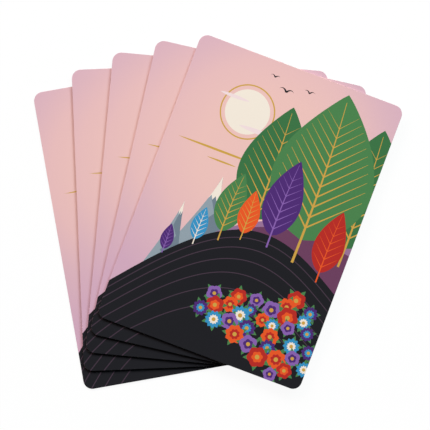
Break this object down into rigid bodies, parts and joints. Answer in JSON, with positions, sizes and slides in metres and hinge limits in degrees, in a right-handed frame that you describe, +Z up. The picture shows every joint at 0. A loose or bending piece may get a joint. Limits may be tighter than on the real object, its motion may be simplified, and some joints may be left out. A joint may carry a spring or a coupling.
{
  "type": "playing cards",
  "caption": "Playing cards with round corners lying face down in an open fan; each laminated card turns flat on the card below about a shared pivot near its lower edge.",
  "frame": {"origin": "middle of the fan's box seen from above, on the table under the bottom card", "axes": "+X to the right and +Y away from the player as the fan is seen from above, +Z up off the table"},
  "size_m": [0.1072, 0.1032, 0.0021],
  "materials": {
    "back_print": "satin",
    "glue_core": "matte",
    "face_print": "satin"
  },
  "bodies": {
    "card_1": {"card_1_face_sheet": "face_print", "card_1_core": "glue_core", "card_1_back_sheet": "back_print"},
    "card_2": {"card_2_face_sheet": "face_print", "card_2_core": "glue_core", "card_2_back_sheet": "back_print"},
    "card_3": {"card_3_face_sheet": "face_print", "card_3_core": "glue_core", "card_3_back_sheet": "back_print"},
    "card_4": {"card_4_face_sheet": "face_print", "card_4_core": "glue_core", "card_4_back_sheet": "back_print"},
    "card_5": {"card_5_face_sheet": "face_print", "card_5_core": "glue_core", "card_5_back_sheet": "back_print"}
  },
  "joints": [
    {"name": "card_2_fan", "type": "hinge", "parent": "card_1", "child": "card_2", "pos_m": [0.00298, -0.04697, 0.00045], "axis": [0, 0, -1], "range_deg": [-7.65, 22.35]},
    {"name": "card_3_fan", "type": "hinge", "parent": "card_2", "child": "card_3", "pos_m": [0.00298, -0.04697, 0.0009], "axis": [0, 0, -1], "range_deg": [-7.65, 22.35]},
    {"name": "card_4_fan", "type": "hinge", "parent": "card_3", "child": "card_4", "pos_m": [0.00298, -0.04697, 0.00135], "axis": [0, 0, -1], "range_deg": [-7.65, 22.35]},
    {"name": "card_5_fan", "type": "hinge", "parent": "card_4", "child": "card_5", "pos_m": [0.00298, -0.04697, 0.0018], "axis": [0, 0, -1], "range_deg": [-7.65, 22.35]}
  ]
}
